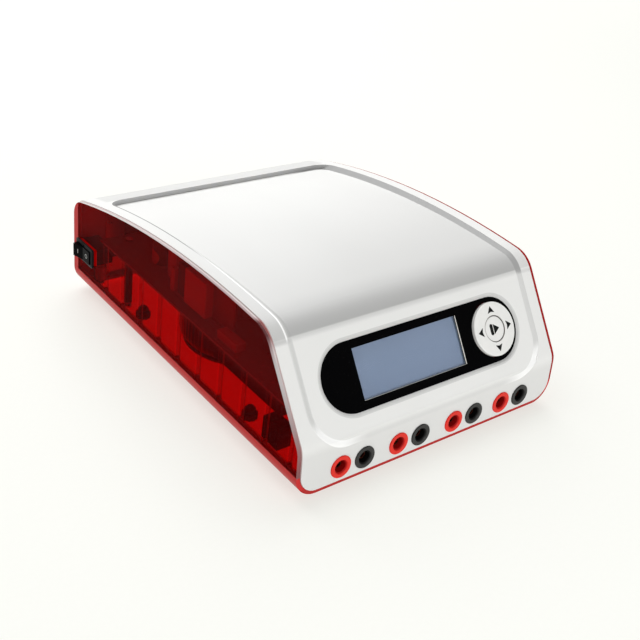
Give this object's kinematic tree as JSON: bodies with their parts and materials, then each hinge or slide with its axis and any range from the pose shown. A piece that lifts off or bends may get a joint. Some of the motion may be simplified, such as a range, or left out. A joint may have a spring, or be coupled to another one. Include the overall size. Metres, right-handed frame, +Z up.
{
  "type": "electrophoresis power supply",
  "caption": "Bench power supply for gel electrophoresis: clear red tub, white curved cover, sloping display panel with ring key, shrouded sockets in front, rocker switch, rear fan and inlet.",
  "frame": {"origin": "centre of the footprint, on the plane that the feet stand on", "axes": "+Z up, +Y from the socket front to the rear panel, +X to the operator's right"},
  "size_m": [0.2328, 0.298, 0.1021],
  "materials": {
    "red_clear": "polished clear red acrylic",
    "white_plastic": "smooth satin moulding",
    "panel_steel": "satin plated sheet",
    "screw_steel": "bright plated",
    "black_gloss": "polished",
    "lcd_clear": "clear flat",
    "lcd_blue": "unlit liquid crystal display in its frame",
    "board_green": "solder mask",
    "black_plastic": "fine moulded texture",
    "key_white": "smooth moulding",
    "pad_rubber": "soft matt",
    "socket_red": "moulded, polished face",
    "socket_black": "moulded, polished face",
    "contact_brass": "turned and plated",
    "nut_metal": "plated",
    "fuse_glass": "glass tube with bright caps",
    "winding": "wound core in polyester film",
    "black_aluminium": "anodised black",
    "capacitor_sleeve": "printed sleeve with bare top",
    "relay_case": "smooth moulded case",
    "ferrite": "sintered core with yellow tape",
    "foot_rubber": "moulded matt"
  },
  "bodies": {
    "base": {"red_shell": "red_clear", "top_cover": "white_plastic", "rear_panel": "panel_steel", "panel_screws": "screw_steel", "cover_screws": "screw_steel", "display_bezel": "black_gloss", "lcd_window": "lcd_clear", "lcd_module": "lcd_blue", "display_board": "board_green", "key_switches": "black_plastic", "socket_contacts": "contact_brass", "socket_nuts": "nut_metal", "output_board": "board_green", "switch_housing": "black_plastic", "switch_terminals": "contact_brass", "inlet_housing": "black_plastic", "inlet_pins": "contact_brass", "fan_frame": "black_plastic", "fan_screws": "screw_steel", "main_board": "board_green", "board_spacers": "contact_brass", "board_screws": "screw_steel", "toroid_transformer": "winding", "toroid_pads": "pad_rubber", "toroid_dish": "panel_steel", "toroid_bolt": "screw_steel", "heatsink": "black_aluminium", "smoothing_capacitors": "capacitor_sleeve", "output_relays": "relay_case", "high_voltage_transformer": "ferrite", "control_card": "board_green", "red_socket_1": "socket_red", "black_socket_1": "socket_black", "red_socket_2": "socket_red", "black_socket_2": "socket_black", "red_socket_3": "socket_red", "black_socket_3": "socket_black", "red_socket_4": "socket_red", "black_socket_4": "socket_black", "foot_front_left": "foot_rubber", "foot_front_right": "foot_rubber", "foot_rear_left": "foot_rubber", "foot_rear_right": "foot_rubber"},
    "rocker": {"switch_rocker": "black_gloss"},
    "pad": {"ring_rubber_pad": "pad_rubber"},
    "ring": {"navigation_ring": "key_white"},
    "button": {"run_button": "key_white"},
    "fan_wheel": {"fan_rotor": "black_plastic"},
    "drawer": {"fuse_drawer": "black_plastic", "fuse": "fuse_glass"}
  },
  "joints": [
    {"name": "power_rocker", "type": "hinge", "parent": "base", "child": "rocker", "pos_m": [-0.11155, 0.12629, 0.0405], "axis": [0, 0, 1], "range_deg": [-18, 0]},
    {"name": "ring_up_down", "type": "hinge", "parent": "base", "child": "pad", "pos_m": [0.0653, -0.1256, 0.06381], "axis": [1, 0, 0], "range_deg": [-2, 2], "stiffness_Nm_per_rad": 0.8},
    {"name": "ring_left_right", "type": "hinge", "parent": "pad", "child": "ring", "pos_m": [0.0653, -0.1256, 0.06381], "axis": [0, 0.5807, 0.8141], "range_deg": [-2, 2], "stiffness_Nm_per_rad": 0.8},
    {"name": "run_press", "type": "slide", "parent": "base", "child": "button", "axis": [0, 0.8141, -0.5807], "range_m": [0, 0.0005], "stiffness_N_per_m": 1500},
    {"name": "fan_spin", "type": "hinge", "parent": "base", "child": "fan_wheel", "pos_m": [0.05095, 0.13339, 0.035], "axis": [0, 1, 0], "continuous": true},
    {"name": "fuse_drawer_slide", "type": "slide", "parent": "base", "child": "drawer", "axis": [0, 1, 0], "range_m": [0, 0.012]}
  ]
}
